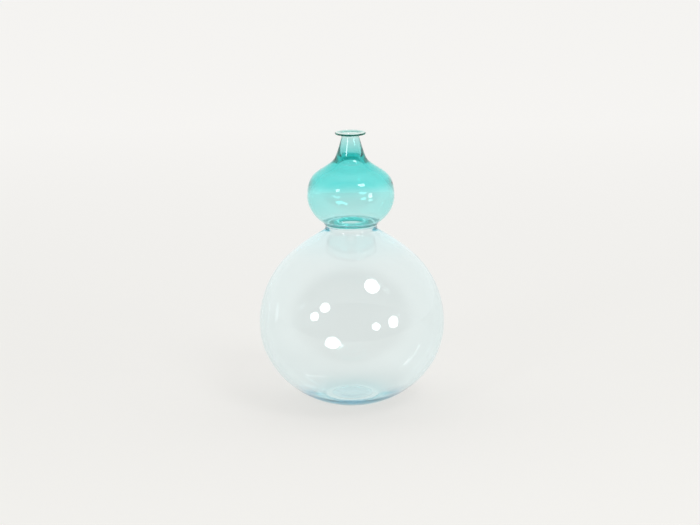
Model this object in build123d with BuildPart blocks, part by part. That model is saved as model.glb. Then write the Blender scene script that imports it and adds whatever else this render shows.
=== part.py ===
from build123d import *
import math
import os

# A hand-blown double gourd vase. A pale globe stands on a ground foot, a teal gourd with a narrow mouth in
# its floor sits on it, and a welded collar makes the waist between them. The gourd's thick shoulder is drawn
# up into a neck that ends in a flared lip, and a polished pontil disc fills the hollow under the foot.
# All lengths are in millimetres. The vase stands on z = 0 and its axis is Z. Every height is counted up
# from the piece below, so the whole stack follows when one size changes.

# Lower globe
globe_radius = 85.9
globe_mid_height = 74.3
globe_rise = 86.5
globe_wall = 1.35
foot_radius = 24.7
floor_thickness = 5.9
floor_flat_radius = 5.1
throat_rise = 24.0
throat_start_share = 0.675
throat_handle_shares = (0.566, 0.14)
throat_inner_start_share = 0.70
throat_inner_handle_shares = (0.45, 0.12)
floor_edge_share = 0.707
floor_handle_shares = (0.337, 0.484)

# Pontil disc in the hollow under the foot
pontil_radius = 18.9
pontil_thickness = 1.8
pontil_hollow = 0.5
pontil_clearance = 0.1
pontil_recess_depth = 2.6

# Waist collar, from the globe's throat over the narrowest ring to the weld under the gourd's floor
waist_radius = 23.85
collar_foot_drop = 3.1
collar_flare = 1.3
collar_foot_wall = 3.0
collar_low_handle_shares = (0.347, 0.347)
collar_high_handle_shares = (0.4, 0.12)
passage_foot_lean = 14.0
passage_handle_shares = (0.4, 0.2)
weld_inset = 0.95
weld_lift = 4.2
weld_lean = 66.0

# Upper gourd, from the mouth in its floor to the ring where its shoulder turns into the neck
gourd_radius = 40.0
gourd_lift = 29.0
gourd_drop = 31.9
gourd_wall = 2.3
gourd_floor_wall = 0.9
cup_edge_share = 0.725
cup_inner_edge_share = 0.71
mouth_radius = 11.0
mouth_lift = 5.3
mouth_low_handle_shares = (0.4, 0.46)
mouth_high_handle_shares = (0.264, 0.44)
shoulder_height = 26.8
shoulder_radius = 23.9
shoulder_slope = 34.0
shoulder_handle_shares = (0.6, 0.31)
shoulder_wall = 12.4
shoulder_inner_drop = -0.85
shoulder_inner_slope = 44.0
shoulder_inner_handle_shares = (0.484, 0.25)

# Drawn neck
neck_height = 27.0
neck_top_radius = 8.16
neck_taper = 17.0
neck_wall = 1.55
bore_slope = 59.5
neck_inner_taper = 11.8
neck_handle_shares = (0.4, 0.7)
neck_inner_handle_shares = (0.296, 0.595)

# Flared lip
lip_radius = 14.1
lip_height = 5.05
lip_edge = 1.7
lip_under_handle_shares = (0.75, 0.8)
lip_mouth_handle_shares = (0.7, 0.7)

os.makedirs("parts", exist_ok=True)


def oval_point(radius, half_height, middle, share):
    """Point of an upright oval at a share of its radius; a negative half height gives the lower half."""
    return Vector(radius * share, middle + half_height * math.sqrt(1 - share**2))


def oval_inward(radius, half_height, share):
    """Unit direction along the same oval, towards the axis."""
    return Vector(-1, half_height * share / (radius * math.sqrt(1 - share**2))).normalized()


def oval_arc(radius, half_height, middle, share):
    """Cubic arc along the oval, from its widest ring to a share of its radius, by the usual tangent rule."""
    angle = math.acos(share)
    handle = 4 / 3 * math.tan(angle / 4)
    end = Vector(radius * share, middle + half_height * math.sin(angle))
    end_step = Vector(-radius * math.sin(angle), half_height * share) * handle
    widest = Vector(radius, middle)
    return Bezier(widest, widest + Vector(0, half_height * handle), end - end_step, end)


def leaning(degrees):
    """Unit direction that rises and leans towards the axis by an angle from the vertical."""
    return Vector(-math.sin(math.radians(degrees)), math.cos(math.radians(degrees)))


def blend(start, start_direction, end, end_direction, handle_shares):
    """Cubic curve with a given direction at each end and handles that are shares of its chord."""
    chord = (end - start).length
    first = start + start_direction * (chord * handle_shares[0])
    second = end - end_direction * (chord * handle_shares[1])
    return Bezier(start, first, second, end)


# Heights of the seams and of the widest rings
throat_start_height = oval_point(globe_radius, globe_rise, globe_mid_height, throat_start_share).Y
collar_foot_height = throat_start_height + throat_rise
waist_height = collar_foot_height + collar_foot_drop
gourd_mid_height = waist_height + gourd_lift
shoulder_point_height = gourd_mid_height + shoulder_height
neck_top_height = shoulder_point_height + neck_height
lip_top_height = neck_top_height + lip_height

# Seam rings, outside and inside the wall
collar_foot_radius = waist_radius + collar_flare
collar_foot_outer = Vector(collar_foot_radius, collar_foot_height)
collar_foot_inner = Vector(collar_foot_radius - collar_foot_wall, collar_foot_height)
gourd_inner_radius = gourd_radius - gourd_wall
gourd_inner_drop = gourd_drop - gourd_floor_wall
cup_outer = oval_point(gourd_radius, -gourd_drop, gourd_mid_height, cup_edge_share)
cup_inner = oval_point(gourd_inner_radius, -gourd_inner_drop, gourd_mid_height, cup_inner_edge_share)
weld = Vector(waist_radius - weld_inset, waist_height + weld_lift)
mouth = Vector(mouth_radius, waist_height + mouth_lift)
shoulder_lean = 90 - shoulder_slope
shoulder_inner_lean = 90 - shoulder_inner_slope
bore_lean = 90 - bore_slope
shoulder_outer = Vector(shoulder_radius, shoulder_point_height)
shoulder_inner = shoulder_outer - Vector(shoulder_wall, shoulder_inner_drop)
neck_top_outer = Vector(neck_top_radius, neck_top_height)
neck_top_inner = Vector(neck_top_radius - neck_wall, neck_top_height)

# The collar's outside is an arc below the waist, so its foot leans by twice the angle of the chord
collar_foot_lean = 2 * math.degrees(math.atan2(collar_flare, collar_foot_drop))

with BuildPart() as lower_globe:
    globe_drop = globe_mid_height / math.sqrt(1 - (foot_radius / globe_radius) ** 2)
    inner_radius = globe_radius - globe_wall
    inner_drop = globe_drop - globe_wall
    inner_rise = globe_rise - globe_wall
    recess_radius = pontil_radius + pontil_clearance
    with BuildSketch(Plane.XZ):
        with BuildLine():
            underside = Polyline(
                (0, pontil_recess_depth),
                (recess_radius, pontil_recess_depth),
                (recess_radius, 0),
                (foot_radius, 0),
            )
            oval_arc(globe_radius, -globe_drop, globe_mid_height, foot_radius / globe_radius)
            oval_arc(globe_radius, globe_rise, globe_mid_height, throat_start_share)
            blend(
                oval_point(globe_radius, globe_rise, globe_mid_height, throat_start_share),
                oval_inward(globe_radius, globe_rise, throat_start_share),
                collar_foot_outer,
                leaning(collar_foot_lean),
                throat_handle_shares,
            )
            Line(collar_foot_outer, collar_foot_inner)
            blend(
                oval_point(inner_radius, inner_rise, globe_mid_height, throat_inner_start_share),
                oval_inward(inner_radius, inner_rise, throat_inner_start_share),
                collar_foot_inner,
                leaning(passage_foot_lean),
                throat_inner_handle_shares,
            )
            oval_arc(inner_radius, inner_rise, globe_mid_height, throat_inner_start_share)
            oval_arc(inner_radius, -inner_drop, globe_mid_height, floor_edge_share)
            floor_edge = oval_point(inner_radius, -inner_drop, globe_mid_height, floor_edge_share)
            floor_inward = oval_inward(inner_radius, -inner_drop, floor_edge_share)
            floor_start = Vector(floor_flat_radius, floor_thickness)
            blend(floor_start, Vector(1, 0), floor_edge, -floor_inward, floor_handle_shares)
            Polyline(floor_start, (0, floor_thickness), underside @ 0)
        make_face()
    revolve(axis=Axis.Z)
lower_globe.part.label = "lower_globe"

with BuildPart() as pontil_pad:
    pad_foot_height = pontil_recess_depth - pontil_thickness
    hollow_radius = (pontil_radius**2 + pontil_hollow**2) / (2 * pontil_hollow)
    hollow_middle = Vector(0, pad_foot_height + pontil_hollow - hollow_radius)
    hollow_angle = math.degrees(math.asin(pontil_radius / hollow_radius))
    with BuildSketch(Plane.XZ):
        with BuildLine():
            hollow = CenterArc(hollow_middle, hollow_radius, 90 - hollow_angle, hollow_angle)
            Polyline(
                hollow @ 1,
                (0, pontil_recess_depth),
                (pontil_radius, pontil_recess_depth),
                hollow @ 0,
            )
        make_face()
    revolve(axis=Axis.Z)
pontil_pad.part.label = "pontil_pad"

with BuildPart() as waist_collar:
    waist = Vector(waist_radius, waist_height)
    cup_outward = -oval_inward(gourd_radius, -gourd_drop, cup_edge_share)
    with BuildSketch(Plane.XZ):
        with BuildLine():
            blend(collar_foot_outer, leaning(collar_foot_lean), waist, Vector(0, 1), collar_low_handle_shares)
            blend(waist, Vector(0, 1), cup_outer, cup_outward, collar_high_handle_shares)
            Line(cup_outer, weld)
            blend(
                collar_foot_inner,
                leaning(passage_foot_lean),
                weld,
                leaning(weld_lean),
                passage_handle_shares,
            )
            Line(collar_foot_inner, collar_foot_outer)
        make_face()
    revolve(axis=Axis.Z)
waist_collar.part.label = "waist_collar"

with BuildPart() as upper_gourd:
    cup_inner_outward = -oval_inward(gourd_inner_radius, -gourd_inner_drop, cup_inner_edge_share)
    with BuildSketch(Plane.XZ):
        with BuildLine():
            oval_arc(gourd_radius, -gourd_drop, gourd_mid_height, cup_edge_share)
            blend(
                Vector(gourd_radius, gourd_mid_height),
                Vector(0, 1),
                shoulder_outer,
                leaning(shoulder_lean),
                shoulder_handle_shares,
            )
            Line(shoulder_outer, shoulder_inner)
            blend(
                Vector(gourd_inner_radius, gourd_mid_height),
                Vector(0, 1),
                shoulder_inner,
                leaning(shoulder_inner_lean),
                shoulder_inner_handle_shares,
            )
            oval_arc(gourd_inner_radius, -gourd_inner_drop, gourd_mid_height, cup_inner_edge_share)
            blend(mouth, Vector(0, 1), cup_inner, cup_inner_outward, mouth_high_handle_shares)
            blend(weld, leaning(weld_lean), mouth, Vector(0, 1), mouth_low_handle_shares)
            Line(weld, cup_outer)
        make_face()
    revolve(axis=Axis.Z)
upper_gourd.part.label = "upper_gourd"

with BuildPart() as drawn_neck:
    with BuildSketch(Plane.XZ):
        with BuildLine():
            blend(
                shoulder_outer,
                leaning(shoulder_lean),
                neck_top_outer,
                leaning(neck_taper),
                neck_handle_shares,
            )
            Line(neck_top_outer, neck_top_inner)
            blend(
                shoulder_inner,
                leaning(bore_lean),
                neck_top_inner,
                leaning(neck_inner_taper),
                neck_inner_handle_shares,
            )
            Line(shoulder_inner, shoulder_outer)
        make_face()
    revolve(axis=Axis.Z)
drawn_neck.part.label = "drawn_neck"

with BuildPart() as flared_lip:
    edge_round = lip_edge / 2
    edge_inset_radius = lip_radius - edge_round
    edge_top = Vector(edge_inset_radius, lip_top_height)
    edge_under = Vector(edge_inset_radius, lip_top_height - lip_edge)
    edge_tip = Vector(lip_radius, lip_top_height - edge_round)
    under_rise = lip_height - lip_edge
    flange_width = edge_inset_radius - neck_top_radius
    with BuildSketch(Plane.XZ):
        with BuildLine():
            Bezier(
                neck_top_outer,
                neck_top_outer + leaning(neck_taper) * (under_rise * lip_under_handle_shares[0]),
                edge_under - Vector(flange_width * lip_under_handle_shares[1], 0),
                edge_under,
            )
            ThreePointArc(edge_under, edge_tip, edge_top)
            Bezier(
                edge_top,
                edge_top - Vector(flange_width * lip_mouth_handle_shares[0], 0),
                neck_top_inner + leaning(neck_inner_taper) * (lip_height * lip_mouth_handle_shares[1]),
                neck_top_inner,
            )
            Line(neck_top_inner, neck_top_outer)
        make_face()
    revolve(axis=Axis.Z)
flared_lip.part.label = "flared_lip"

for piece in (lower_globe, pontil_pad, waist_collar, upper_gourd, drawn_neck, flared_lip):
    export_step(piece.part, f"parts/{piece.part.label}.step")
    print(piece.part.label, "volume", round(piece.part.volume), "top", round(piece.part.bounding_box().max.Z, 2))
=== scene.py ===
"""Looks of a hand-blown double gourd vase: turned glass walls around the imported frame, on a pale sweep."""

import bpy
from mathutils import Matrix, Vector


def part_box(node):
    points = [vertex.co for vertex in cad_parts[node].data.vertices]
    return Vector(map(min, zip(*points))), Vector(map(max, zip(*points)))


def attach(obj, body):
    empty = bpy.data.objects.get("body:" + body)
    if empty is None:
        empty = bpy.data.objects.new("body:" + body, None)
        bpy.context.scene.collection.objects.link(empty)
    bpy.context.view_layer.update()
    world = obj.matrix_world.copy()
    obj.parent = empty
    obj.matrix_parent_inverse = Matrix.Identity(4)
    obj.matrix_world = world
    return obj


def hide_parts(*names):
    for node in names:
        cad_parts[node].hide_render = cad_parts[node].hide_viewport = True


bl_info = {
    "name": "Double Gourd Vase",
    "version": (1, 0, 0),
    "blender": (4, 5, 0),
    "location": "View3D > Sidebar > Gourd Vase",
    "description": "Turns the glass of a double gourd vase around its frame and sets it on a pale sweep",
    "category": "Object",
}

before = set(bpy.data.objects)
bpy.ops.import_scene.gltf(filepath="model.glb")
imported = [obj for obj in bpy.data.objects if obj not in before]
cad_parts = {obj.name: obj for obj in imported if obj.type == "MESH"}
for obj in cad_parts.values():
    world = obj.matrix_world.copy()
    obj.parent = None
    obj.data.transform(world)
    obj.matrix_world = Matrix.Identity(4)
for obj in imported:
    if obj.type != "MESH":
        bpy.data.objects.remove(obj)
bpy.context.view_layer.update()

import math
from types import SimpleNamespace

import bpy
import numpy as np
from bpy.props import FloatProperty, FloatVectorProperty, IntProperty, PointerProperty
from mathutils import Matrix, Vector

MM = 0.001
BODY = "root"
UP = np.array([0.0, 1.0])
OUT = np.array([1.0, 0.0])


def node_reach(node):
    """Radius and top height of a turned node, from its box in the frame."""
    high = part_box(node)[1]
    return high.x, high.z


GLOBE_RADIUS, COLLAR_FOOT_HEIGHT = node_reach("lower_globe")
GOURD_RADIUS = node_reach("upper_gourd")[0]
SHOULDER_RADIUS, NECK_TOP_HEIGHT = node_reach("drawn_neck")
SHOULDER_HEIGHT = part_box("drawn_neck")[0].z
LIP_RADIUS, LIP_TOP_HEIGHT = node_reach("flared_lip")
PONTIL_RADIUS, PONTIL_TOP_HEIGHT = node_reach("pontil_pad")
PONTIL_FOOT_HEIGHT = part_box("pontil_pad")[0].z


def linear(hex_colour):
    """Linear red, green and blue of an sRGB hex colour."""
    s = np.array([int(hex_colour[i : i + 2], 16) / 255 for i in (1, 3, 5)])
    return tuple(np.where(s <= 0.04045, s / 12.92, ((s + 0.055) / 1.055) ** 2.4).tolist())


def length(name, description, metres):
    """A length that a user may change, shown in the scene's unit."""
    return FloatProperty(name=name, description=description, default=metres, precision=5, unit="LENGTH")


def angle(name, description, degrees):
    """An angle that a user may change."""
    return FloatProperty(name=name, description=description, default=math.radians(degrees), subtype="ANGLE")


def colour(name, description, hex_colour):
    """A colour that a user may change, from its sRGB hex value."""
    return FloatVectorProperty(
        name=name, description=description, default=linear(hex_colour), size=3, min=0, max=1, subtype="COLOR"
    )


class GlobeSizes(bpy.types.PropertyGroup):
    """Sizes of the pale globe and of the pontil disc under it."""

    radius: length("Radius", "Widest radius of the globe", GLOBE_RADIUS)
    middle: length("Middle", "Height of the widest ring", 74.3 * MM)
    rise: length("Rise", "Half height of the oval above the widest ring", 86.5 * MM)
    wall: length("Wall", "Thickness of the globe's wall", 1.35 * MM)
    foot_radius: length("Foot", "Outer radius of the ground foot", 24.7 * MM)
    floor: length("Floor", "Height of the inner floor", 5.9 * MM)
    floor_flat_radius: length("Flat of the floor", "Radius of the floor's level middle", 5.1 * MM)
    throat_top: length("Throat", "Height at which the globe meets the collar", COLLAR_FOOT_HEIGHT)
    recess_gap: length("Pontil gap", "Play round the pontil disc in its recess", 0.1 * MM)
    pontil_hollow: length("Pontil hollow", "Depth of the polished hollow of the pontil disc", 0.5 * MM)


class CollarSizes(bpy.types.PropertyGroup):
    """Sizes of the welded ring at the waist."""

    waist_radius: length("Waist", "Narrowest outer radius", 23.85 * MM)
    foot_drop: length("Foot drop", "Height of the waist ring above the collar's foot", 3.1 * MM)
    flare: length("Flare", "How far the foot stands out past the waist", 1.3 * MM)
    foot_wall: length("Foot wall", "Level width of the seam at the collar's foot", 3.0 * MM)
    passage_lean: angle("Passage lean", "Lean of the passage's wall at the collar's foot", 14.0)
    weld_radius: length("Weld", "Inner radius of the weld to the gourd", 22.9 * MM)
    weld_lift: length("Weld lift", "Height of the weld's inner ring above the waist ring", 4.2 * MM)
    weld_lean: angle("Weld lean", "Lean of the inner wall at the weld", 66.0)


class GourdSizes(bpy.types.PropertyGroup):
    """Sizes of the teal gourd and its drawn neck."""

    radius: length("Radius", "Widest radius of the gourd", GOURD_RADIUS)
    lift: length("Lift", "Height of the widest ring above the waist ring", 29.0 * MM)
    drop: length("Drop", "Half height of the oval below the widest ring", 31.9 * MM)
    wall: length("Wall", "Thickness of the gourd's wall", 2.3 * MM)
    floor_wall: length("Floor wall", "Thickness of the gourd's lower wall", 0.9 * MM)
    shoulder_radius: length("Shoulder", "Radius at which the shoulder turns into the neck", SHOULDER_RADIUS)
    shoulder_height: length("Shoulder height", "Height of that ring", SHOULDER_HEIGHT)
    shoulder_slope: angle("Shoulder slope", "Slope of the outer wall there", 34.0)
    shoulder_wall: length("Shoulder wall", "Level width of the wall at that ring", 12.4 * MM)
    shoulder_inner_drop: length("Inner drop", "How far the inner ring lies below it", -0.85 * MM)
    shoulder_inner_slope: angle("Inner slope", "Slope of the inner wall there", 44.0)
    bore_slope: angle("Bore slope", "Slope of the bore's wall above that ring", 59.5)
    neck_top_radius: length("Neck", "Outer radius of the neck under the lip", 8.16 * MM)
    neck_top_height: length("Neck height", "Height of the seam under the lip", NECK_TOP_HEIGHT)
    neck_wall: length("Neck wall", "Thickness of the neck's wall under the lip", 1.55 * MM)
    neck_taper: angle("Neck taper", "Lean of the neck's outside under the lip", 17.0)
    neck_inner_taper: angle("Bore taper", "Lean of the neck's bore under the lip", 11.8)
    mouth_radius: length("Mouth", "Radius of the mouth in the gourd's floor", 11.0 * MM)
    mouth_lift: length("Mouth lift", "Height of the mouth's narrowest ring above the waist ring", 5.3 * MM)
    wall_shift: length("Wall shift", "How far the inside of the gourd is blown off the axis", 0.3 * MM)


class LipSizes(bpy.types.PropertyGroup):
    """Sizes of the flared lip."""

    radius: length("Radius", "Outer radius of the flange", LIP_RADIUS)
    top: length("Top", "Height of the flange's upper face", LIP_TOP_HEIGHT)
    edge: length("Edge", "Thickness of the rounded edge", 1.7 * MM)


class GlassColours(bpy.types.PropertyGroup):
    """Colour that white light keeps after a stated depth of each glass."""

    pale: colour("Pale aqua", "Light left after the pale glass's depth", "#62CFE4")
    pale_depth: length("Pale depth", "Depth of pale glass that gives that colour", 50.0 * MM)
    teal: colour("Teal", "Light left after the teal glass's depth", "#AFF3F2")
    teal_depth: length("Teal depth", "Depth of teal glass that gives that colour", 5.0 * MM)
    lip: colour("Lip", "Light left after the lip glass's depth", "#B8E8E2")
    lip_depth: length("Lip depth", "Depth of lip glass that gives that colour", 5.0 * MM)
    ior: FloatProperty(name="IOR", description="Refractive index of soda-lime glass", default=1.5, min=1)


class StageSettings(bpy.types.PropertyGroup):
    """Floor, surroundings, lamps and camera."""

    # Painted light on the floor: the near colour is painted shade towards the camera, and the far colour is
    # painted light on the sweep behind the vase
    near_painted_shade: colour("Near floor", "Colour of the floor towards the camera", "#EFEEEB")
    far: colour("Far floor", "Colour of the sweep behind the vase", "#FEFDFB")
    front: colour("Room", "Colour of the room behind the camera", "#C4C4C2")
    ceiling: colour("Ceiling", "Colour of the room's ceiling in front", "#3A3A3A")
    paint: colour("Paint", "Colour of the floor's paint, which takes the shadow", "#FAF9F6")
    shown_share: FloatProperty(
        name="Shown share",
        description="Share of the plain colour in the floor",
        default=0.72,
        subtype="FACTOR",
    )
    front_edge: length("Front edge", "Distance of the floor's front edge from the vase", 0.55)
    reach: length("Reach", "How far the floor runs behind and beside the vase", 6.0)
    view_distance: length("Distance", "Distance of the camera from the vase's middle", 1.7)
    view_height: angle("View height", "Angle at which the camera looks down", 14.0)
    roll: angle("Roll", "Tilt of the camera about its line of sight", -0.5)
    lamp_radiance: FloatProperty(
        name="Lamps", description="Radiance of the lamps' faces", default=10.0, min=0
    )


class VaseSettings(bpy.types.PropertyGroup):
    """Everything that a user may change."""

    globe: PointerProperty(type=GlobeSizes, name="Globe", description="Pale globe")
    collar: PointerProperty(type=CollarSizes, name="Collar", description="Waist collar")
    gourd: PointerProperty(type=GourdSizes, name="Gourd", description="Teal gourd and neck")
    lip: PointerProperty(type=LipSizes, name="Lip", description="Flared lip")
    glass: PointerProperty(type=GlassColours, name="Glass", description="Glass colours")
    stage: PointerProperty(type=StageSettings, name="Stage", description="Floor, light and camera")
    segments: IntProperty(name="Segments", description="Steps around the vase", default=192, min=24)


# Shares of a chord or an oval that shape the section's curves
THROAT_START_SHARE = 0.675
THROAT_INNER_START_SHARE = 0.70
THROAT_SHARES = (0.566, 0.14)
THROAT_INNER_SHARES = (0.45, 0.12)
FLOOR_EDGE_SHARE = 0.707
FLOOR_SHARES = (0.337, 0.484)
COLLAR_LOW_SHARES = (0.347, 0.347)
COLLAR_HIGH_SHARES = (0.4, 0.12)
PASSAGE_SHARES = (0.4, 0.2)
MOUTH_LOW_SHARES = (0.4, 0.46)
MOUTH_HIGH_SHARES = (0.264, 0.44)
CUP_EDGE_SHARE = 0.725
CUP_INNER_EDGE_SHARE = 0.71
SHOULDER_SHARES = (0.6, 0.31)
SHOULDER_INNER_SHARES = (0.484, 0.25)
NECK_SHARES = (0.4, 0.7)
NECK_INNER_SHARES = (0.296, 0.595)
LIP_UNDER_SHARES = (0.75, 0.8)
LIP_MOUTH_SHARES = (0.7, 0.7)
SEAM_LAP = 0.05 * MM
SEAM_MARK = "welded_seam"
SHARP_ANGLE = math.radians(40)
CURVE_STEPS = 48


def bezier(p0, p1, p2, p3, steps=CURVE_STEPS):
    """Cubic curve: the four points weighted by (1-t)^3, 3t(1-t)^2, 3t^2(1-t) and t^3."""
    t = np.linspace(0, 1, steps)[:, None]
    return (1 - t) ** 3 * p0 + 3 * t * (1 - t) ** 2 * p1 + 3 * t**2 * (1 - t) * p2 + t**3 * p3


def blend(start, start_way, end, end_way, shares, steps=CURVE_STEPS):
    """Cubic curve with a given direction at each end and handles that are shares of its chord."""
    chord = np.linalg.norm(end - start)
    return bezier(start, start + start_way * chord * shares[0], end - end_way * chord * shares[1], end, steps)


def leaning(lean):
    """Unit direction that rises and leans towards the axis by an angle from the vertical."""
    return np.array([-math.sin(lean), math.cos(lean)])


def oval_point(radius, half_height, middle, share):
    """Point of an upright oval at a share of its radius; a negative half height gives the lower half."""
    return np.array([radius * share, middle + half_height * math.sqrt(1 - share**2)])


def oval_inward(radius, half_height, share):
    """Unit direction along the same oval, towards the axis."""
    way = np.array([-1, half_height * share / (radius * math.sqrt(1 - share**2))])
    return way / np.linalg.norm(way)


def oval_arc(radius, half_height, middle, share, steps=CURVE_STEPS):
    """Oval from its widest ring to a share of its radius: radius cos a, middle + half height sin a."""
    a = np.linspace(0, math.acos(share), steps)
    return np.stack([radius * np.cos(a), middle + half_height * np.sin(a)], 1)


def joined(*lines):
    """Lines end to end, with each shared end kept once."""
    parts = [lines[0]] + [line[1:] for line in lines[1:]]
    return np.concatenate(parts)


def lapped(line, start=False):
    """The line carried on past its end, or back past its start, along itself by the lap of a seam."""
    if start:
        return lapped(line[::-1])[::-1]
    way = line[-1] - line[-2]
    return np.concatenate([line, [line[-1] + way / np.linalg.norm(way) * SEAM_LAP]])


def closed(outer, inner, foot_seam=False):
    """Section from an outer and an inner line, with the steps of it that are welded seams: the one across
    the wall at the top and, where the piece stands on another, the one at its foot."""
    section = np.concatenate([outer, inner[::-1]])
    seams = np.zeros(len(section))
    seams[len(outer) - 1] = 1
    seams[-1] = foot_seam
    return section, seams


def seam_rings(settings):
    """Points and directions of the section where two pieces meet, inside and outside the wall."""
    globe, collar, gourd = settings.globe, settings.collar, settings.gourd
    foot_radius = collar.waist_radius + collar.flare
    waist_height = globe.throat_top + collar.foot_drop
    middle = waist_height + gourd.lift
    inner_radius, inner_drop = gourd.radius - gourd.wall, gourd.drop - gourd.floor_wall
    shoulder = np.array([gourd.shoulder_radius, gourd.shoulder_height])
    return SimpleNamespace(
        foot=np.array([foot_radius, globe.throat_top]),
        foot_way=leaning(2 * math.atan2(collar.flare, collar.foot_drop)),
        foot_inner=np.array([foot_radius - collar.foot_wall, globe.throat_top]),
        foot_inner_way=leaning(collar.passage_lean),
        waist=np.array([collar.waist_radius, waist_height]),
        weld=np.array([collar.weld_radius, waist_height + collar.weld_lift]),
        weld_way=leaning(collar.weld_lean),
        mouth=np.array([gourd.mouth_radius, waist_height + gourd.mouth_lift]),
        middle=middle,
        inner_radius=inner_radius,
        inner_drop=inner_drop,
        cup=oval_point(gourd.radius, -gourd.drop, middle, CUP_EDGE_SHARE),
        cup_way=-oval_inward(gourd.radius, -gourd.drop, CUP_EDGE_SHARE),
        cup_inner=oval_point(inner_radius, -inner_drop, middle, CUP_INNER_EDGE_SHARE),
        cup_inner_way=-oval_inward(inner_radius, -inner_drop, CUP_INNER_EDGE_SHARE),
        shoulder=shoulder,
        shoulder_way=leaning(math.pi / 2 - gourd.shoulder_slope),
        shoulder_inner=shoulder - np.array([gourd.shoulder_wall, gourd.shoulder_inner_drop]),
        shoulder_inner_way=leaning(math.pi / 2 - gourd.shoulder_inner_slope),
        bore_way=leaning(math.pi / 2 - gourd.bore_slope),
        neck=np.array([gourd.neck_top_radius, gourd.neck_top_height]),
        neck_way=leaning(gourd.neck_taper),
        neck_inner=np.array([gourd.neck_top_radius - gourd.neck_wall, gourd.neck_top_height]),
        neck_inner_way=leaning(gourd.neck_inner_taper),
    )


def globe_section(settings):
    """Half section of the globe: recess and foot, outer oval, throat, seam, inner throat and oval, floor."""
    globe, rings = settings.globe, seam_rings(settings)
    drop = globe.middle / math.sqrt(1 - (globe.foot_radius / globe.radius) ** 2)
    inner_radius, inner_drop = globe.radius - globe.wall, drop - globe.wall
    inner_rise = globe.rise - globe.wall
    recess = PONTIL_RADIUS + globe.recess_gap
    underside = np.array([[0, PONTIL_TOP_HEIGHT], [recess, PONTIL_TOP_HEIGHT], [recess, 0]])
    outer = joined(
        oval_arc(globe.radius, -drop, globe.middle, globe.foot_radius / globe.radius)[::-1],
        oval_arc(globe.radius, globe.rise, globe.middle, THROAT_START_SHARE),
        blend(
            oval_point(globe.radius, globe.rise, globe.middle, THROAT_START_SHARE),
            oval_inward(globe.radius, globe.rise, THROAT_START_SHARE),
            rings.foot,
            rings.foot_way,
            THROAT_SHARES,
        ),
    )
    floor_edge = oval_point(inner_radius, -inner_drop, globe.middle, FLOOR_EDGE_SHARE)
    floor_inward = oval_inward(inner_radius, -inner_drop, FLOOR_EDGE_SHARE)
    floor_flat = np.array([globe.floor_flat_radius, globe.floor])
    inner = joined(
        np.array([[0, globe.floor], floor_flat]),
        blend(floor_flat, OUT, floor_edge, -floor_inward, FLOOR_SHARES),
        oval_arc(inner_radius, -inner_drop, globe.middle, FLOOR_EDGE_SHARE)[::-1],
        oval_arc(inner_radius, inner_rise, globe.middle, THROAT_INNER_START_SHARE),
        blend(
            oval_point(inner_radius, inner_rise, globe.middle, THROAT_INNER_START_SHARE),
            oval_inward(inner_radius, inner_rise, THROAT_INNER_START_SHARE),
            rings.foot_inner,
            rings.foot_inner_way,
            THROAT_INNER_SHARES,
        ),
    )
    return closed(np.concatenate([underside, lapped(outer)]), lapped(inner))


def pontil_section(settings):
    """Half section of the pontil disc: a flat top, an upright rim and an underside hollowed to an arc."""
    hollow = settings.globe.pontil_hollow
    arc_radius = (PONTIL_RADIUS**2 + hollow**2) / (2 * hollow)
    a = np.linspace(0, math.asin(PONTIL_RADIUS / arc_radius), CURVE_STEPS)
    crown = PONTIL_FOOT_HEIGHT + hollow - arc_radius
    under = np.stack([arc_radius * np.sin(a), crown + arc_radius * np.cos(a)], 1)
    top = PONTIL_TOP_HEIGHT - SEAM_LAP
    section = np.concatenate([under, [[PONTIL_RADIUS, top], [0, top]]])
    return section, np.zeros(len(section))


def collar_section(settings):
    """Half section of the collar: an arc up to the waist, a flare to the gourd's oval, the passage inside."""
    rings = seam_rings(settings)
    outer = joined(
        blend(rings.foot, rings.foot_way, rings.waist, UP, COLLAR_LOW_SHARES),
        blend(rings.waist, UP, rings.cup, rings.cup_way, COLLAR_HIGH_SHARES),
    )
    inner = blend(rings.foot_inner, rings.foot_inner_way, rings.weld, rings.weld_way, PASSAGE_SHARES)
    return closed(lapped(outer), lapped(inner), foot_seam=True)


def gourd_section(settings):
    """Half section of the gourd: oval cup, shoulder and drawn neck outside, and inside them a floor plate
    with its mouth, a cup, a shoulder and the bore. The inside is a little off the axis, as blown walls are:
    its shift is 16 u^2 (1-u)^2 of the most, where u is the share of its height."""
    gourd, rings = settings.gourd, seam_rings(settings)
    widest = np.array([gourd.radius, rings.middle])
    inner_widest = np.array([rings.inner_radius, rings.middle])
    outer = joined(
        oval_arc(gourd.radius, -gourd.drop, rings.middle, CUP_EDGE_SHARE)[::-1],
        blend(widest, UP, rings.shoulder, rings.shoulder_way, SHOULDER_SHARES),
        blend(rings.shoulder, rings.shoulder_way, rings.neck, rings.neck_way, NECK_SHARES),
    )
    inner = joined(
        blend(rings.weld, rings.weld_way, rings.mouth, UP, MOUTH_LOW_SHARES),
        blend(rings.mouth, UP, rings.cup_inner, rings.cup_inner_way, MOUTH_HIGH_SHARES),
        oval_arc(rings.inner_radius, -rings.inner_drop, rings.middle, CUP_INNER_EDGE_SHARE)[::-1],
        blend(inner_widest, UP, rings.shoulder_inner, rings.shoulder_inner_way, SHOULDER_INNER_SHARES),
        blend(
            rings.shoulder_inner, rings.bore_way, rings.neck_inner, rings.neck_inner_way, NECK_INNER_SHARES
        ),
    )
    section, seams = closed(lapped(outer), lapped(inner), foot_seam=True)
    share = np.clip((section[:, 1] - rings.mouth[1]) / (rings.neck_inner[1] - rings.mouth[1]), 0, 1)
    shift = gourd.wall_shift * 16 * share**2 * (1 - share) ** 2
    shift[: len(outer) + 1] = 0
    return section, seams, shift


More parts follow.
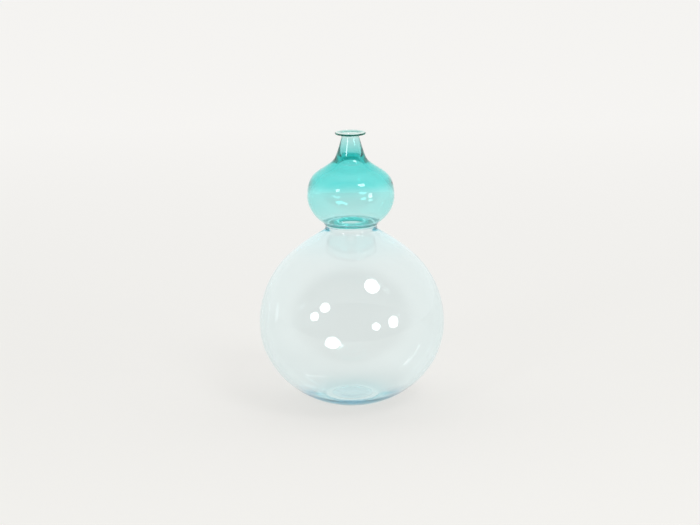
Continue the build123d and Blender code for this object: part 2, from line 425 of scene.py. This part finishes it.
def lip_section(settings):
    """Half section of the lip: a flange that sweeps out of the neck to a half-round edge and back inside."""
    lip, rings = settings.lip, seam_rings(settings)
    round_radius = lip.edge / 2
    edge_middle = np.array([lip.radius - round_radius, lip.top - round_radius])
    a = np.linspace(-math.pi / 2, math.pi / 2, CURVE_STEPS // 2)
    edge = edge_middle + round_radius * np.stack([np.cos(a), np.sin(a)], 1)
    flange = edge_middle[0] - rings.neck[0]
    rise = lip.top - rings.neck[1]
    under = bezier(
        rings.neck,
        rings.neck + rings.neck_way * (rise - lip.edge) * LIP_UNDER_SHARES[0],
        edge[0] - OUT * flange * LIP_UNDER_SHARES[1],
        edge[0],
    )
    mouth = bezier(
        edge[-1],
        edge[-1] - OUT * flange * LIP_MOUTH_SHARES[0],
        rings.neck_inner + rings.neck_inner_way * rise * LIP_MOUTH_SHARES[1],
        rings.neck_inner,
    )
    section = joined(under, edge, mouth)
    seams = np.zeros(len(section))
    seams[-1] = 1
    return section, seams


def turned(name, segments, section, seams, shift=0.0):
    """Mesh of a half section turned about Z: the point at radius r and height z goes to r cos a, r sin a, z
    at even steps of the angle a, with each ring moved along X by its own shift. A section that starts and
    ends on the axis closes there in two poles, and any other closes on itself. Faces of a welded seam are
    marked, so that the glass can let light straight through them."""
    poles = section[[0, -1]] if section[0, 0] < SEAM_LAP else section[:0]
    rings = section[1:-1] if len(poles) else section
    a = np.arange(segments) * (2 * math.pi / segments)
    x = np.outer(rings[:, 0], np.cos(a)) + np.broadcast_to(shift, len(rings))[:, None]
    y = np.outer(rings[:, 0], np.sin(a))
    grid = np.stack([x, y, np.repeat(rings[:, 1:], segments, 1)], -1).reshape(-1, 3)
    tips = np.stack([poles[:, 0], poles[:, 0], poles[:, 1]], 1)
    count = len(rings)
    steps = np.arange(count - 1 if len(poles) else count)[:, None] * segments
    here, there = np.arange(segments)[None], (np.arange(segments)[None] + 1) % segments
    above = (steps + segments) % (count * segments)
    quads = np.stack([steps + here, steps + there, above + there, above + here], -1).reshape(-1, 4)
    faces = quads.tolist()
    marks = np.repeat(seams[1:-2] if len(poles) else seams, segments)
    if len(poles):
        last = (count - 1) * segments
        first_tip = np.full(segments, count * segments)
        faces += np.stack([first_tip, there[0], here[0]], -1).tolist()
        faces += np.stack([last + here[0], last + there[0], first_tip + 1], -1).tolist()
        marks = np.concatenate([marks, np.zeros(2 * segments)])
    mesh = bpy.data.meshes.new(name)
    mesh.from_pydata(np.concatenate([grid, tips]).tolist(), [], faces)
    mesh.polygons.foreach_set("use_smooth", np.ones(len(faces), bool))
    mesh.set_sharp_from_angle(angle=SHARP_ANGLE)
    mesh.attributes.new(SEAM_MARK, "FLOAT", "FACE").data.foreach_set("value", marks.astype(np.float32))
    return mesh


def put_piece(name, mesh, material, slot, *nodes):
    """Shows a mesh as a piece of the vase in place of its nodes."""
    piece = bpy.data.objects.new(name, mesh)
    bpy.context.scene.collection.objects.link(piece)
    mesh.materials.append(material)
    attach(piece, BODY)
    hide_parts(*nodes)


def add_node(tree, kind, inputs=None, **settings):
    """Adds a node, sets its settings, and gives each named input a value or links it to an output."""
    node = tree.nodes.new(kind)
    for key, value in settings.items():
        setattr(node, key, value)
    for key, value in (inputs or {}).items():
        if isinstance(value, bpy.types.NodeSocket):
            tree.links.new(value, node.inputs[key])
        else:
            node.inputs[key].default_value = value
    return node


def new_material(name):
    """An empty node material with its output node."""
    material = bpy.data.materials.new(name)
    material.use_nodes = True
    tree = material.node_tree
    tree.nodes.clear()
    return material, tree, add_node(tree, "ShaderNodeOutputMaterial")


# Slow waves of the fire-polished surface: their length, their height and how much of it shows
WAVE_LENGTH = 30 * MM
WAVE_HEIGHT = 1 * MM
WAVE_SHARE = 0.02


def blown_glass(name, kept, depth, ior):
    """Fire-polished soda-lime glass. The flame leaves it smooth as water, with slow waves that only bend the
    highlights, and its colour deepens with the length of glass that the light passes."""
    material, tree, output = new_material(name)
    place = add_node(tree, "ShaderNodeTexCoord").outputs["Object"]
    waves = add_node(tree, "ShaderNodeTexNoise", {"Vector": place, "Scale": 1 / WAVE_LENGTH, "Detail": 1.0})
    bump = add_node(
        tree,
        "ShaderNodeBump",
        {"Height": waves.outputs["Fac"], "Strength": WAVE_SHARE, "Distance": WAVE_HEIGHT},
    )
    seam = add_node(tree, "ShaderNodeAttribute", attribute_name=SEAM_MARK).outputs["Fac"]
    bend = add_node(tree, "ShaderNodeMapRange", {"Value": seam, "To Min": ior, "To Max": 1.0})
    shader = add_node(
        tree,
        "ShaderNodeBsdfPrincipled",
        {
            "Base Color": (1, 1, 1, 1),
            "Transmission Weight": 1.0,
            "Roughness": 0.0,
            "IOR": bend.outputs["Result"],
            "Normal": bump.outputs["Normal"],
        },
    )
    taken = -np.log(np.array(kept)) / depth
    density = float(taken.max())
    passed = (1 - taken / density).tolist()
    tint = add_node(tree, "ShaderNodeVolumeAbsorption", {"Color": (*passed, 1), "Density": density})
    tree.links.new(shader.outputs["BSDF"], output.inputs["Surface"])
    tree.links.new(tint.outputs["Volume"], output.inputs["Volume"])
    return material


class VASE_OT_globe(bpy.types.Operator):
    """Turn the pale globe and the pontil disc in the hollow under its foot"""

    bl_idname = "vase.globe"
    bl_label = "Globe and Pontil"

    def execute(self, context):
        vase = context.scene.gourd_vase
        glass = vase.glass
        aqua = blown_glass("pale_aqua_soda_lime_glass", glass.pale, glass.pale_depth, glass.ior)
        globe = turned("lower_globe", vase.segments, *globe_section(vase))
        put_piece("globe_glass", globe, aqua, "pale_aqua_glass", "lower_globe")
        ground = blown_glass("polished_pontil_glass", glass.pale, glass.pale_depth, glass.ior)
        pad = turned("pontil_pad", vase.segments, *pontil_section(vase))
        put_piece("pontil_glass", pad, ground, "pontil_glass", "pontil_pad")
        return {"FINISHED"}


class VASE_OT_collar(bpy.types.Operator):
    """Turn the pale collar at the waist"""

    bl_idname = "vase.collar"
    bl_label = "Waist Collar"

    def execute(self, context):
        vase = context.scene.gourd_vase
        glass = vase.glass
        pale = blown_glass("pale_collar_soda_lime_glass", glass.pale, glass.pale_depth, glass.ior)
        collar = turned("waist_collar", vase.segments, *collar_section(vase))
        put_piece("collar_glass", collar, pale, "collar_glass", "waist_collar")
        return {"FINISHED"}


class VASE_OT_gourd(bpy.types.Operator):
    """Turn the teal gourd and the neck that is drawn out of it"""

    bl_idname = "vase.gourd"
    bl_label = "Gourd and Neck"

    def execute(self, context):
        vase = context.scene.gourd_vase
        glass = vase.glass
        teal = blown_glass("teal_soda_lime_glass", glass.teal, glass.teal_depth, glass.ior)
        gourd = turned("upper_gourd", vase.segments, *gourd_section(vase))
        put_piece("gourd_glass", gourd, teal, "teal_glass", "upper_gourd", "drawn_neck")
        return {"FINISHED"}


class VASE_OT_lip(bpy.types.Operator):
    """Turn the flared lip on the neck's end"""

    bl_idname = "vase.lip"
    bl_label = "Flared Lip"

    def execute(self, context):
        vase = context.scene.gourd_vase
        glass = vase.glass
        dark = blown_glass("dark_teal_lip_glass", glass.lip, glass.lip_depth, glass.ior)
        lip = turned("flared_lip", vase.segments, *lip_section(vase))
        put_piece("lip_glass", lip, dark, "lip_glass", "flared_lip")
        return {"FINISHED"}


# Distances behind the vase, in metres, between which the floor's shown colour turns from painted shade near
# the camera into the painted light of the far sweep
FLOOR_FADE = (0.1, 1.5)
PLAIN_STRENGTH = 1.04


def floor_material(stage):
    """Matt white paint that mostly shows a plain glowing colour to the camera and through glass. That colour
    holds painted light: darker towards the camera, lighter behind the vase.
    The rest of the paint takes the vase's shadow."""
    material, tree, output = new_material("matt_white_paint_with_painted_light")
    place = add_node(tree, "ShaderNodeTexCoord").outputs["Object"]
    y = add_node(tree, "ShaderNodeSeparateXYZ", {"Vector": place}).outputs["Y"]
    depth = add_node(
        tree, "ShaderNodeMapRange", {"Value": y, "From Min": FLOOR_FADE[0], "From Max": FLOOR_FADE[1]}
    )
    shade = add_node(
        # Painted light: the shown colour darkens towards the camera and lightens behind the vase
        tree,
        "ShaderNodeMix",
        {0: depth.outputs["Result"], 6: (*stage.near_painted_shade, 1), 7: (*stage.far, 1)},
        data_type="RGBA",
    )
    paint = add_node(tree, "ShaderNodeBsdfDiffuse", {"Color": (*stage.paint, 1)})
    plain = add_node(tree, "ShaderNodeEmission", {"Color": shade.outputs[2], "Strength": PLAIN_STRENGTH})
    path = add_node(tree, "ShaderNodeLightPath")
    seen = add_node(
        tree,
        "ShaderNodeMath",
        {0: path.outputs["Is Camera Ray"], 1: path.outputs["Is Glossy Ray"]},
        operation="MAXIMUM",
    )
    seen = add_node(
        tree,
        "ShaderNodeMath",
        {0: seen.outputs[0], 1: path.outputs["Is Transmission Ray"]},
        operation="MAXIMUM",
    )
    share = add_node(tree, "ShaderNodeMath", {0: seen.outputs[0], 1: stage.shown_share}, operation="MULTIPLY")
    mixed = add_node(
        tree,
        "ShaderNodeMixShader",
        {0: share.outputs[0], 1: paint.outputs["BSDF"], 2: plain.outputs["Emission"]},
    )
    tree.links.new(mixed.outputs[0], output.inputs["Surface"])
    return material


# Parts of a unit direction between which the room turns into the sweep, along Y, and darkens, along Z
SWEEP_FADE = (-0.35, 0.1)
CEILING_FADE = (0.05, 0.6)


def room_world(stage):
    """Surroundings by direction: the sweep's colour behind, a room in front that darkens upwards."""
    world = bpy.data.worlds.new("studio_room")
    world.use_nodes = True
    tree = world.node_tree
    tree.nodes.clear()
    output = add_node(tree, "ShaderNodeOutputWorld")
    way = add_node(tree, "ShaderNodeTexCoord").outputs["Generated"]
    parts = add_node(tree, "ShaderNodeSeparateXYZ", {"Vector": way})
    depth = add_node(
        tree,
        "ShaderNodeMapRange",
        {"Value": parts.outputs["Y"], "From Min": SWEEP_FADE[0], "From Max": SWEEP_FADE[1]},
        interpolation_type="SMOOTHSTEP",
    )
    height = add_node(
        tree,
        "ShaderNodeMapRange",
        {"Value": parts.outputs["Z"], "From Min": CEILING_FADE[0], "From Max": CEILING_FADE[1]},
        interpolation_type="SMOOTHSTEP",
    )
    room = add_node(
        tree,
        "ShaderNodeMix",
        {0: height.outputs["Result"], 6: (*stage.front, 1), 7: (*stage.ceiling, 1)},
        data_type="RGBA",
    )
    whole = add_node(
        tree,
        "ShaderNodeMix",
        {0: depth.outputs["Result"], 6: room.outputs[2], 7: (*stage.far, 1)},
        data_type="RGBA",
    )
    background = add_node(tree, "ShaderNodeBackground", {"Color": whole.outputs[2], "Strength": 1.0})
    tree.links.new(background.outputs["Background"], output.inputs["Surface"])
    return world


# Round soft boxes: name, direction from the vase, diameter in metres
LAMPS = (
    ("key", (0.386, -0.459, 0.800), 0.45),
    ("left", (-0.529, -0.708, 0.469), 0.30),
    ("right", (0.777, -0.614, 0.143), 0.33),
)
LAMP_DISTANCE = 1.5
LAMP_TARGET = Vector((0, 0, 0.08))
VIEW_TARGET = Vector((-0.0013, 0, 0.1308))
# Focal length and frame width in pixels of the picture, and the sensor's width in millimetres
FOCAL_PIXELS = 1836
FRAME_PIXELS = 700
SENSOR = 36
CLIP_START = 0.05
# Light that is led along the glass walls needs many bounces before it leaves them
ALL_BOUNCES = 64
GLASS_BOUNCES = 48


def aim(thing, target, way, distance, roll=0.0):
    """Places a lamp or camera at a distance from a target and turns it to face the target."""
    way = Vector(way).normalized()
    thing.location = target + way * distance
    turn = way.to_track_quat("Z", "Y").to_matrix() @ Matrix.Rotation(roll, 3, "Z")
    thing.rotation_euler = turn.to_euler()
    bpy.context.scene.collection.objects.link(thing)


class VASE_OT_stage(bpy.types.Operator):
    """Lay the pale floor, light it and set the camera"""

    bl_idname = "vase.stage"
    bl_label = "Stage"

    def execute(self, context):
        scene, stage = context.scene, context.scene.gourd_vase.stage
        side, front, back = stage.reach, -stage.front_edge, stage.reach
        mesh = bpy.data.meshes.new("floor")
        mesh.from_pydata(
            [(-side, front, 0), (side, front, 0), (side, back, 0), (-side, back, 0)], [], [(0, 1, 2, 3)]
        )
        mesh.materials.append(floor_material(stage))
        floor = bpy.data.objects.new("floor", mesh)
        scene.collection.objects.link(floor)
        scene.world = room_world(stage)
        for name, way, diameter in LAMPS:
            lamp = bpy.data.lights.new(name, "AREA")
            lamp.shape = "DISK"
            lamp.size = diameter
            lamp.energy = stage.lamp_radiance * math.pi * (math.pi * diameter**2 / 4)
            aim(bpy.data.objects.new(name, lamp), LAMP_TARGET, way, LAMP_DISTANCE)
        camera = bpy.data.cameras.new("camera")
        camera.sensor_width = SENSOR
        camera.lens = SENSOR * FOCAL_PIXELS / FRAME_PIXELS
        camera.clip_start = CLIP_START
        eye = bpy.data.objects.new("camera", camera)
        way = (0, -math.cos(stage.view_height), math.sin(stage.view_height))
        aim(eye, VIEW_TARGET, way, stage.view_distance, stage.roll)
        scene.camera = eye
        scene.view_settings.view_transform = "Standard"
        scene.cycles.max_bounces = ALL_BOUNCES
        scene.cycles.glossy_bounces = GLASS_BOUNCES
        scene.cycles.transmission_bounces = GLASS_BOUNCES
        return {"FINISHED"}


class VASE_PT_panel(bpy.types.Panel):
    """Buttons that make the vase and its stage"""

    bl_idname = "VASE_PT_panel"
    bl_label = "Double Gourd Vase"
    bl_space_type = "VIEW_3D"
    bl_region_type = "UI"
    bl_category = "Gourd Vase"

    def draw(self, context):
        for operator in OPERATORS:
            self.layout.operator(operator.bl_idname)


OPERATORS = (VASE_OT_globe, VASE_OT_collar, VASE_OT_gourd, VASE_OT_lip, VASE_OT_stage)
SETTINGS = (GlobeSizes, CollarSizes, GourdSizes, LipSizes, GlassColours, StageSettings, VaseSettings)
CLASSES = SETTINGS + OPERATORS + (VASE_PT_panel,)


def register():
    """Registers the settings, operators and panel."""
    for item in CLASSES:
        bpy.utils.register_class(item)
    bpy.types.Scene.gourd_vase = PointerProperty(type=VaseSettings)


def unregister():
    """Takes them out again."""
    del bpy.types.Scene.gourd_vase
    for item in reversed(CLASSES):
        bpy.utils.unregister_class(item)


def main():
    """Builds the vase and its stage."""
    register()
    bpy.ops.vase.globe()
    bpy.ops.vase.collar()
    bpy.ops.vase.gourd()
    bpy.ops.vase.lip()
    bpy.ops.vase.stage()


if __name__ == "__main__":
    main()
